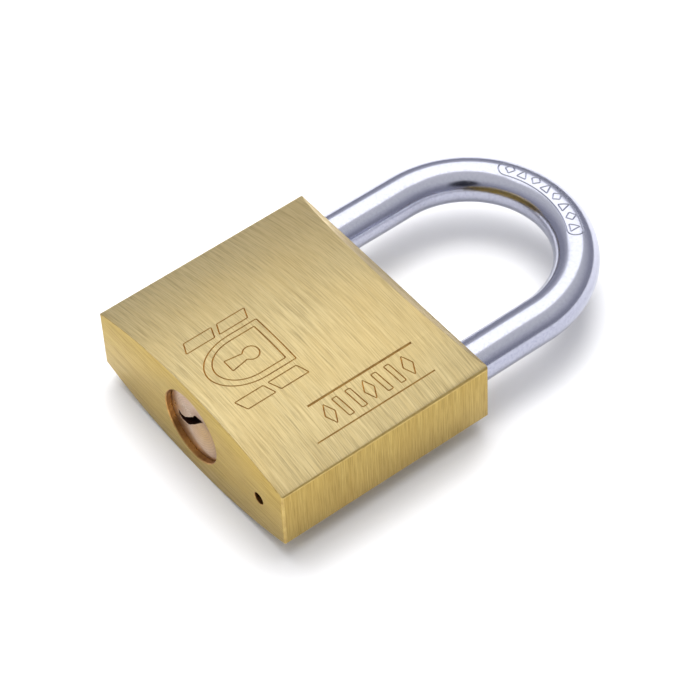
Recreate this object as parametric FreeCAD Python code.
import FreeCAD, Part
import math
import os

# Brass block padlock, lying on its back. All lengths are millimetres and all angles degrees.
# Everything is first built in the lock's working frame: the plug turns about Y, the keyway end
# face is Y = 0, the shackle leaves through the face at Y = body_height, and Z = 0 is the mid plane.
# place() then shifts each finished piece so that the origin is the bottom centre of the whole lock.

# ---- case -------------------------------------------------------------------------------------
body_width = 40.0            # across the two flat sides
body_height = 33.4           # keyway end to shackle end
edge_thickness = 9.5         # thickness at the flat sides
crown = 3.2                  # how far each big face bulges above the flat sides' edges
end_edge_break = 0.3         # small chamfer round the keyway end
side_edge_round = 0.3        # radius of the long edges beside the flat sides
slope_run = 2.5              # how far the slope at the shackle end reaches back along the body

# ---- shackle ----------------------------------------------------------------------------------
rod_diameter = 6.3
leg_spacing = 29.3           # centre to centre of the two legs
straight_above_body = 12.9   # leg length between the body and the start of the bow
shackle_lift = 12.5          # travel from shut to open
leg_clearance = 0.1          # radial
toe_tip_y = 21.3
heel_tip_y = 7.0
heel_hole_bottom_y = 3.0
toe_hole_bottom_y = 20.9
leg_mouth_break = 0.3
toe_tip_chamfer = 0.8
heel_tip_chamfer = 0.4
drain_diameter = 1.8
drain_offset_z = -0.5

# ---- plug (the part the key turns) ------------------------------------------------------------
plug_bore_diameter = 11.0
plug_clearance = 0.05        # radial
plug_face_y = 0.8            # the plug sits this far inside the keyway end
plug_rear_y = 20.0
keyway_depth_y = 17.4
plug_groove_y = 18.4         # annular groove that holds the plug in
plug_groove_width = 1.7
plug_groove_depth = 0.95
dish_radius = 3.2            # shallow hollow beside the keyway's wide end
dish_depth = 0.45
dish_centre_x = 1.7
dish_centre_z = -0.9
keyway_outline = (           # X and Z of the slot's corners, in order round it
    (1.5, 1.5), (0.0, 1.7), (-0.7, 0.7), (-2.4, -0.8), (-3.2, -0.95), (-3.9, -0.55),
    (-3.8, -1.4), (-3.1, -1.85), (-1.9, -1.8), (-0.6, -0.85),
)

# ---- pin stacks, drilled from the -X side -------------------------------------------------------
first_pin_y = 4.0
pin_spacing = 3.0
pin_diameter = 2.3
pin_clearance = 0.05
key_pin_lengths = (3.0, 2.3, 2.7, 3.2, 2.5)
driver_pin_length = 4.0
shear_line_gap = 0.15        # how far a pin end stays short of the plug's or the bore's surface
pin_seat_x = -1.2            # bottom of the pin holes inside the plug
pin_point_flat = 0.4         # radius of the flat on a key pin's point
chamber_cap_length = 2.4
pin_spring_mean_radius = 0.75
pin_spring_wire_radius = 0.14
pin_spring_turns = 9

# ---- drive dogs between plug and cam ------------------------------------------------------------
dog_inner_radius = 2.2
dog_outer_radius = 4.6
dog_half_angle = 22.0        # two dogs on each part leave 92 degrees of lost motion
dog_height = 1.4
dog_end_gap = 0.1
cam_dog_angle = 135.0        # cam dogs against plug dogs when the lock is released

# ---- cam and bolts ------------------------------------------------------------------------------
cam_flange_radius = 4.8
cam_flange_thickness = 1.5
cam_hub_radius = 1.05
cam_peg_orbit = 1.5
cam_peg_radius = 0.5
cam_swing = 90.0
bolt_y = 26.0
bolt_radius = 2.7
bolt_clearance = 0.05
bolt_shoulder_x = 5.5        # inner end of the full round, with the bolts drawn in
bolt_nose_gap = 0.15         # nose to shackle leg, with the bolts drawn in
bolt_nose_round = 0.5
bolt_tail_reach = 2.7        # how far a tail passes the middle, with the bolts drawn in
bolt_tail_flat_z = 1.2       # the two tails lie each side of the hub
bolt_tail_slack = 0.12       # play of a peg in its slot
bolt_slot_roof_z = 2.1
bolt_notch_depth = 2.3       # in the shackle legs
bolt_notch_half_width = 3.0
bolt_cap_length = 1.95
bolt_spring_mean_radius = 0.7
bolt_spring_wire_radius = 0.15
bolt_spring_turns = 8
bolt_spring_offset_y = 1.2   # springs run above the pegs
bolt_spring_pocket = 1.5

# ---- shackle spring and cross pins --------------------------------------------------------------
shackle_spring_mean_radius = 2.3
shackle_spring_wire_radius = 0.27
shackle_spring_turns = 5.5
retaining_pin_radius = 1.0
retaining_pin_y = 21.6
retaining_pin_bite = 0.9     # how far it stands into the heel leg's flat
leg_flat_depth = 1.05
leg_groove_width = 2.2
plug_pin_radius = 0.75
spring_end_gap = 0.03
past = 1.0                   # how far a cutting tool runs beyond the face it cuts
tiny = 1e-6

# ---- values that follow from the ones above -----------------------------------------------------
half_width = body_width / 2
half_edge = edge_thickness / 2
half_centre = half_edge + crown
rod_radius = rod_diameter / 2
leg_x = leg_spacing / 2
leg_hole_radius = rod_radius + leg_clearance
bow_start_y = body_height + straight_above_body
total_length = bow_start_y + leg_x + rod_radius
plug_bore_radius = plug_bore_diameter / 2
plug_radius = plug_bore_radius - plug_clearance
pin_radius = pin_diameter / 2
pin_hole_radius = pin_radius + pin_clearance
pin_ys = [first_pin_y + i * pin_spacing for i in range(len(key_pin_lengths))]
key_pin_top_x = -(plug_radius - shear_line_gap)
driver_pin_foot_x = -(plug_bore_radius + pin_clearance)
driver_pin_head_x = driver_pin_foot_x - driver_pin_length
chamber_cap_x = -(half_width - chamber_cap_length)
cam_flange_y = plug_rear_y + dog_height + dog_end_gap
cam_top_y = cam_flange_y + cam_flange_thickness
bolt_bore_radius = bolt_radius + bolt_clearance
chamber_end_y = bolt_y + bolt_bore_radius + dog_end_gap
leg_inner_x = leg_x - rod_radius
bolt_nose_x = leg_inner_x - bolt_nose_gap
peg_offset = cam_peg_orbit * math.sin(math.radians(cam_swing / 2))
leg_groove_y = retaining_pin_y - retaining_pin_radius - shackle_lift - plug_clearance

X_AXIS = FreeCAD.Vector(1, 0, 0)
Y_AXIS = FreeCAD.Vector(0, 1, 0)
Z_AXIS = FreeCAD.Vector(0, 0, 1)
ORIGIN = FreeCAD.Vector(0, 0, 0)


def rod(radius, start, end):
    """A round bar between two points."""
    a = FreeCAD.Vector(*start)
    b = FreeCAD.Vector(*end)
    return Part.makeCylinder(radius, (b - a).Length, a, b - a)


def box(low, high):
    """A block given by two opposite corners."""
    size = [h - l for l, h in zip(low, high)]
    return Part.makeBox(*size, FreeCAD.Vector(*low))


def prism_along_y(corners, y_start, y_end):
    """A prism along Y from X and Z corners."""
    points = [FreeCAD.Vector(x, y_start, z) for x, z in corners]
    face = Part.Face(Part.makePolygon(points + points[:1]))
    return face.extrude(FreeCAD.Vector(0, y_end - y_start, 0))


def sector(inner, outer, half_angle, y_start, y_end, centre_angle):
    """A ring sector about the plug's axis, used for the drive dogs."""
    edges = []
    for angle in (-half_angle, half_angle):
        a = math.radians(angle)
        edges.append((math.cos(a), -math.sin(a)))
    (ax, az), (bx, bz) = edges
    p = [FreeCAD.Vector(r * x, y_start, r * z) for r, x, z in
         ((inner, ax, az), (outer, ax, az), (outer, bx, bz), (inner, bx, bz))]
    outer_arc = Part.Arc(p[1], FreeCAD.Vector(outer, y_start, 0), p[2]).toShape()
    inner_arc = Part.Arc(p[3], FreeCAD.Vector(inner, y_start, 0), p[0]).toShape()
    side_a = Part.makeLine(p[0], p[1])
    side_b = Part.makeLine(p[2], p[3])
    face = Part.Face(Part.Wire([side_a, outer_arc, side_b, inner_arc]))
    dog = face.extrude(FreeCAD.Vector(0, y_end - y_start, 0))
    dog.rotate(ORIGIN, Y_AXIS, centre_angle)
    return dog


def coil(start, direction, length, mean_radius, wire_radius, turns):
    """A round-wire compression spring between two seats."""
    height = length - 2 * (wire_radius + spring_end_gap)
    helix = Part.makeHelix(height / turns, height, mean_radius)
    ring = Part.makeCircle(wire_radius, FreeCAD.Vector(mean_radius, 0, 0), Y_AXIS)
    wire = Part.Wire(helix.Edges).makePipeShell([Part.Wire([ring])], True, True)
    wire.translate(FreeCAD.Vector(0, 0, wire_radius + spring_end_gap))
    turn = FreeCAD.Rotation(Z_AXIS, FreeCAD.Vector(*direction))
    wire.Placement = FreeCAD.Placement(FreeCAD.Vector(*start), turn).multiply(wire.Placement)
    return wire


def place(shape):
    """Shift a piece from the working frame to the finished one."""
    moved = shape.copy()
    moved.translate(FreeCAD.Vector(0, -total_length / 2, half_centre))
    return moved


def lens_block():
    """The block before drilling: two flat sides and two gently bulging faces."""
    corners = [FreeCAD.Vector(x, 0, z) for x, z in (
        (-half_width, -half_edge), (half_width, -half_edge),
        (half_width, half_edge), (-half_width, half_edge))]
    back = Part.Arc(corners[0], FreeCAD.Vector(0, 0, -half_centre), corners[1]).toShape()
    right = Part.makeLine(corners[1], corners[2])
    front = Part.Arc(corners[2], FreeCAD.Vector(0, 0, half_centre), corners[3]).toShape()
    left = Part.makeLine(corners[3], corners[0])
    face = Part.Face(Part.Wire([back, right, front, left]))
    block = face.extrude(FreeCAD.Vector(0, body_height, 0))
    long_edges = [e for e in block.Edges if abs(e.BoundBox.YLength - body_height) < tiny]
    block = block.makeFillet(side_edge_round, long_edges)
    rim = [e for e in block.Edges if e.BoundBox.YMax < tiny]
    return block.makeChamfer(end_edge_break, rim)


def shoulder_wedge(side):
    """The slope that takes the bulge away at the shackle end, on the +Z or the -Z face."""
    above, below = 1.3, 0.3      # how far the wedge runs on past the bulge and past the end, in slopes
    high_z, low_z = half_edge + above * crown, half_edge - below * crown
    outer_y = body_height + below * slope_run
    corners = [(body_height - above * slope_run, high_z), (outer_y, low_z), (outer_y, high_z)]
    points = [FreeCAD.Vector(-half_width - past, y, side * z) for y, z in corners]
    face = Part.Face(Part.makePolygon(points + points[:1]))
    return face.extrude(FreeCAD.Vector(body_width + 2 * past, 0, 0))


def mouth_break(x):
    """The small countersink where a leg enters the case."""
    y = body_height - leg_mouth_break
    base = FreeCAD.Vector(x, y, 0)
    top_radius = leg_hole_radius + 2 * leg_mouth_break
    return Part.makeCone(leg_hole_radius, top_radius, 2 * leg_mouth_break, base, Y_AXIS)


def case():
    """The solid brass block with all its bores."""
    block = lens_block()
    side_x = -half_width - past
    drain_low = (leg_x, -past, drain_offset_z)
    drain_high = (leg_x, heel_hole_bottom_y + past, drain_offset_z)
    cuts = [shoulder_wedge(1), shoulder_wedge(-1)]
    cuts.append(rod(plug_bore_radius, (0, -past, 0), (0, chamber_end_y, 0)))
    for x, bottom_y in ((-leg_x, toe_hole_bottom_y), (leg_x, heel_hole_bottom_y)):
        cuts.append(rod(leg_hole_radius, (x, bottom_y, 0), (x, body_height + past, 0)))
        cuts.append(mouth_break(x))
    cuts.append(rod(drain_diameter / 2, drain_low, drain_high))
    cuts.append(rod(bolt_bore_radius, (side_x, bolt_y, 0), (leg_x, bolt_y, 0)))
    cuts.append(rod(retaining_pin_radius, (0, retaining_pin_y, 0), (leg_x, retaining_pin_y, 0)))
    cuts.append(rod(plug_pin_radius, (side_x, plug_groove_y, 0), (0, plug_groove_y, 0)))
    for y in pin_ys:
        cuts.append(rod(pin_hole_radius, (side_x, y, 0), (0, y, 0)))
    for tool in cuts:
        block = block.cut(tool)
    return block


def leg(x, tip_y, chamfer):
    """One straight leg with a chamfered tip."""
    bar = rod(rod_radius, (x, tip_y, 0), (x, bow_start_y, 0))
    tip = [e for e in bar.Edges if abs(e.BoundBox.YMax - tip_y) < tiny]
    return bar.makeChamfer(chamfer, tip)


def shackle():
    """The steel bow with its two bolt notches, and the heel leg's flat and groove."""
    toe = leg(-leg_x, toe_tip_y, toe_tip_chamfer)
    heel = leg(leg_x, heel_tip_y, heel_tip_chamfer)
    section = Part.Face(Part.Wire([Part.makeCircle(
        rod_radius, FreeCAD.Vector(leg_x, bow_start_y, 0), Y_AXIS)]))
    bow = section.revolve(FreeCAD.Vector(0, bow_start_y, 0), Z_AXIS, 180)
    bar = toe.fuse([heel, bow]).removeSplitter()
    low_y = bolt_y - bolt_notch_half_width
    high_y = bolt_y + bolt_notch_half_width
    for side in (-1, 1):
        near = side * (leg_inner_x - past)
        far = side * (leg_inner_x + bolt_notch_depth)
        bar = bar.cut(box((min(near, far), low_y, -rod_diameter), (max(near, far), high_y, rod_diameter)))
    bar = bar.cut(box((leg_inner_x - past, leg_groove_y, -rod_diameter),
                      (leg_inner_x + leg_flat_depth, low_y, rod_diameter)))
    ring_low = (leg_x, leg_groove_y, 0)
    ring_high = (leg_x, leg_groove_y + leg_groove_width, 0)
    ring = rod(rod_radius + past, ring_low, ring_high).cut(
        rod(rod_radius - leg_flat_depth, ring_low, ring_high))
    return bar.cut(ring)


def plug():
    """The plug: keyway, pin holes, retaining groove and two drive dogs."""
    body = rod(plug_radius, (0, plug_face_y, 0), (0, plug_rear_y, 0))
    body = body.cut(prism_along_y(keyway_outline, plug_face_y - past, keyway_depth_y))
    for y in pin_ys:
        body = body.cut(rod(pin_hole_radius, (-plug_radius - past, y, 0), (pin_seat_x, y, 0)))
    groove_low = plug_groove_y - plug_groove_width / 2
    groove_high = groove_low + plug_groove_width
    ring = rod(plug_radius + past, (0, groove_low, 0), (0, groove_high, 0)).cut(
        rod(plug_radius - plug_groove_depth, (0, groove_low, 0), (0, groove_high, 0)))
    body = body.cut(ring)
    ball_radius = (dish_radius ** 2 + dish_depth ** 2) / (2 * dish_depth)
    ball_centre = FreeCAD.Vector(dish_centre_x, plug_face_y + dish_depth - ball_radius, dish_centre_z)
    body = body.cut(Part.makeSphere(ball_radius, ball_centre))
    for angle in (0, 180):
        dog = sector(dog_inner_radius, dog_outer_radius, dog_half_angle,
                     plug_rear_y, plug_rear_y + dog_height, angle)
        body = body.fuse(dog)
    return body.removeSplitter()


def cam():
    """The cam: two dogs below, a flange, and a hub with two pegs that draw the bolts in."""
    body = rod(cam_flange_radius, (0, cam_flange_y, 0), (0, cam_top_y, 0))
    for angle in (cam_dog_angle, cam_dog_angle + 180):
        dog = sector(dog_inner_radius, dog_outer_radius, dog_half_angle,
                     plug_rear_y + dog_end_gap, cam_flange_y, angle)
        body = body.fuse(dog)
    hub_top_y = bolt_y + bolt_spring_offset_y + bolt_spring_mean_radius
    body = body.fuse(rod(cam_hub_radius, (0, cam_top_y, 0), (0, hub_top_y, 0)))
    for side in (-1, 1):
        x = side * peg_offset
        body = body.fuse(rod(cam_peg_radius, (x, cam_top_y, x), (x, bolt_y, x)))
    return body.removeSplitter()


def bolt(side):
    """A locking bolt, drawn in. side -1 is the toe bolt, with its tail above the hub."""
    tail_end_x = -side * bolt_tail_reach
    nose = rod(bolt_radius, (side * bolt_shoulder_x, bolt_y, 0), (side * bolt_nose_x, bolt_y, 0))
    rim = [e for e in nose.Edges if e.BoundBox.XLength < tiny
           and abs(abs(e.BoundBox.XMax) - bolt_nose_x) < tiny]
    nose = nose.makeFillet(bolt_nose_round, rim)
    tail = rod(bolt_radius, (side * bolt_shoulder_x, bolt_y, 0), (tail_end_x, bolt_y, 0))
    tail_z = sorted((-side * bolt_tail_flat_z, -side * (bolt_radius + past)))
    keep = box((-half_width, 0, tail_z[0]), (half_width, body_height, tail_z[1]))
    body = nose.fuse(tail.common(keep))
    slot_half = cam_peg_radius + bolt_tail_slack
    peg_x = -side * peg_offset
    slot_z = sorted((0, -side * bolt_slot_roof_z))
    body = body.cut(box((peg_x - slot_half, bolt_y - bolt_radius - past, slot_z[0]),
                        (peg_x + slot_half, bolt_y + bolt_radius + past, slot_z[1])))
    pocket_y = bolt_y + bolt_spring_offset_y
    pocket_radius = bolt_spring_mean_radius + 2 * bolt_spring_wire_radius
    return body.cut(rod(pocket_radius, (side * (bolt_shoulder_x - past), pocket_y, 0),
                        (side * (bolt_shoulder_x + bolt_spring_pocket), pocket_y, 0)))


def bolt_spring(side):
    """The spring between the cam's hub and a bolt, which pushes the bolt into its notch."""
    start = (side * cam_hub_radius, bolt_y + bolt_spring_offset_y, 0)
    length = bolt_shoulder_x + bolt_spring_pocket - cam_hub_radius
    return coil(start, (side, 0, 0), length, bolt_spring_mean_radius,
                bolt_spring_wire_radius, bolt_spring_turns)


def key_pin(index):
    """A pointed pin that the key lifts, shown at the shear line."""
    y = pin_ys[index]
    point = pin_radius - pin_point_flat
    shank_end = key_pin_top_x + key_pin_lengths[index] - point
    shank = rod(pin_radius, (key_pin_top_x, y, 0), (shank_end, y, 0))
    tip = Part.makeCone(pin_radius, pin_point_flat, point, FreeCAD.Vector(shank_end, y, 0), X_AXIS)
    return shank.fuse(tip).removeSplitter()


def driver_pin(index):
    """A flat-ended pin that blocks the plug when the key is out, shown at the shear line."""
    y = pin_ys[index]
    return rod(pin_radius, (driver_pin_head_x, y, 0), (driver_pin_foot_x, y, 0))


def pin_spring(index):
    """The spring behind a driver pin."""
    start = (driver_pin_head_x, pin_ys[index], 0)
    length = driver_pin_head_x - chamber_cap_x
    return coil(start, (-1, 0, 0), length, pin_spring_mean_radius,
                pin_spring_wire_radius, pin_spring_turns)


def chamber_cap(index):
    """The brass plug that closes a pin chamber flush with the side."""
    y = pin_ys[index]
    return rod(pin_hole_radius, (-half_width, y, 0), (chamber_cap_x, y, 0))


def bolt_bore_cap():
    """The brass plug that closes the cross bore of the bolts."""
    return rod(bolt_bore_radius, (-half_width, bolt_y, 0), (-half_width + bolt_cap_length, bolt_y, 0))


def shackle_spring():
    """The spring under the heel leg that lifts the shackle."""
    return coil((leg_x, heel_hole_bottom_y, 0), (0, 1, 0), heel_tip_y - heel_hole_bottom_y,
                shackle_spring_mean_radius, shackle_spring_wire_radius, shackle_spring_turns)


def shackle_retaining_pin():
    """The pin from the plug bore into the heel leg's flat: the shackle can't come right out."""
    inner = (plug_bore_radius + shear_line_gap, retaining_pin_y, 0)
    outer = (leg_inner_x + retaining_pin_bite, retaining_pin_y, 0)
    return rod(retaining_pin_radius, inner, outer)


def plug_retaining_pin():
    """The long pin from the side into the plug's groove."""
    tip_x = -(plug_radius - plug_groove_depth + shear_line_gap)
    return rod(plug_pin_radius, (-half_width, plug_groove_y, 0), (tip_x, plug_groove_y, 0))


nodes = {
    "case": case(),
    "shackle": shackle(),
    "plug": plug(),
    "cam": cam(),
    "toe_bolt": bolt(-1),
    "heel_bolt": bolt(1),
    "toe_bolt_spring": bolt_spring(-1),
    "heel_bolt_spring": bolt_spring(1),
    "bolt_bore_cap": bolt_bore_cap(),
    "shackle_spring": shackle_spring(),
    "shackle_retaining_pin": shackle_retaining_pin(),
    "plug_retaining_pin": plug_retaining_pin(),
}
for number in range(len(pin_ys)):
    nodes[f"key_pin_{number + 1}"] = key_pin(number)
    nodes[f"driver_pin_{number + 1}"] = driver_pin(number)
    nodes[f"pin_spring_{number + 1}"] = pin_spring(number)
    nodes[f"chamber_cap_{number + 1}"] = chamber_cap(number)

os.makedirs("parts", exist_ok=True)
for name, shape in nodes.items():
    place(shape).exportStep(f"parts/{name}.step")
    print(name, "volume", round(shape.Volume, 2), "valid", shape.isValid(), len(shape.Solids))
